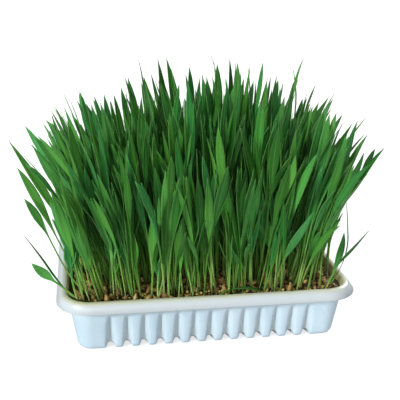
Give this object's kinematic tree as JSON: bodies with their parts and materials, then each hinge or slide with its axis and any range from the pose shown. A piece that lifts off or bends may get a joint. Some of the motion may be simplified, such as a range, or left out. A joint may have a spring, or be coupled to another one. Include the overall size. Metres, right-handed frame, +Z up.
{
  "type": "wheatgrass tray",
  "caption": "Dense bed of young wheatgrass growing in soil in a shallow ribbed white plastic tray with round corners.",
  "frame": {"origin": "middle of the tray's flat underside, on the surface it stands on", "axes": "+Z up; the tray's long side runs along X; its front faces -Y"},
  "size_m": [0.252, 0.196, 0.1684],
  "materials": {
    "white_plastic": "thin formed white plastic sheet with a soft sheen",
    "soil": "moist dark growing mix with golden flakes and tan seed grains",
    "leaf": "fresh green grass blades with fine lengthwise veins, pale at the foot"
  },
  "bodies": {
    "root": {"tray": "white_plastic", "soil": "soil", "tuft_01": "leaf", "tuft_02": "leaf", "tuft_03": "leaf", "tuft_04": "leaf", "tuft_05": "leaf", "tuft_06": "leaf", "tuft_07": "leaf", "tuft_08": "leaf", "tuft_09": "leaf", "tuft_10": "leaf", "tuft_11": "leaf", "tuft_12": "leaf", "tuft_13": "leaf", "tuft_14": "leaf", "tuft_15": "leaf", "tuft_16": "leaf", "tuft_17": "leaf", "tuft_18": "leaf", "tuft_19": "leaf", "tuft_20": "leaf", "tuft_21": "leaf", "tuft_22": "leaf", "tuft_23": "leaf", "tuft_24": "leaf", "tuft_25": "leaf", "tuft_26": "leaf", "tuft_27": "leaf", "tuft_28": "leaf", "tuft_29": "leaf", "tuft_30": "leaf", "tuft_31": "leaf", "tuft_32": "leaf", "tuft_33": "leaf", "tuft_34": "leaf", "tuft_35": "leaf", "tuft_36": "leaf", "tuft_37": "leaf", "tuft_38": "leaf", "tuft_39": "leaf", "tuft_40": "leaf", "tuft_41": "leaf", "tuft_42": "leaf"}
  },
  "joints": []
}
